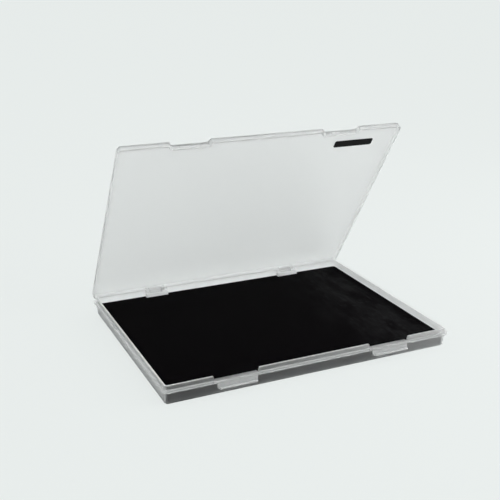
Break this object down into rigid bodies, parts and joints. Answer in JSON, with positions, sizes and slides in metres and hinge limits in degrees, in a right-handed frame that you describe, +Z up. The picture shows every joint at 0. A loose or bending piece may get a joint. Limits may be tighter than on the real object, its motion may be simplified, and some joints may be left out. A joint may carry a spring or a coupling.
{
  "type": "ink pad",
  "caption": "Flat ink pad in a shallow hinged case of frosted plastic, lid standing open over the black pad, flap latches on the front edge.",
  "frame": {"origin": "middle of the tray's flat underside", "axes": "+X to the right along the hinge line, +Y from the latches towards the hinges, +Z up from the underside"},
  "size_m": [0.208, 0.1602, 0.1419],
  "materials": {
    "frosted_plastic": "frosted, translucent",
    "latch_plastic": "frosted, translucent",
    "pin_plastic": "moulded, milky",
    "adhesive_sheet": "black, matte",
    "inked_felt": "dense felt, inked",
    "inked_cloth": "fine tight cloth, inked",
    "black_print": "printed"
  },
  "bodies": {
    "tray": {"tray": "frosted_plastic", "hinge_pin_left": "pin_plastic", "hinge_pin_right": "pin_plastic", "latch_pin_left": "pin_plastic", "latch_pin_right": "pin_plastic", "pad_backing": "adhesive_sheet", "pad_core": "inked_felt", "pad_cover": "inked_cloth"},
    "lid": {"lid": "frosted_plastic", "lid_label": "black_print"},
    "latch_left": {"latch_left": "latch_plastic"},
    "latch_right": {"latch_right": "latch_plastic"}
  },
  "joints": [
    {"name": "lid_hinge", "type": "hinge", "parent": "tray", "child": "lid", "pos_m": [0, 0.0771, 0.0098], "axis": [-1, 0, 0], "range_deg": [-57.8, 122.2]},
    {"name": "latch_left_hinge", "type": "hinge", "parent": "tray", "child": "latch_left", "pos_m": [-0.0556, -0.07625, 0.0092], "axis": [1, 0, 0], "range_deg": [-165, 0]},
    {"name": "latch_right_hinge", "type": "hinge", "parent": "tray", "child": "latch_right", "pos_m": [0.0556, -0.07625, 0.0092], "axis": [1, 0, 0], "range_deg": [-165, 0]}
  ]
}
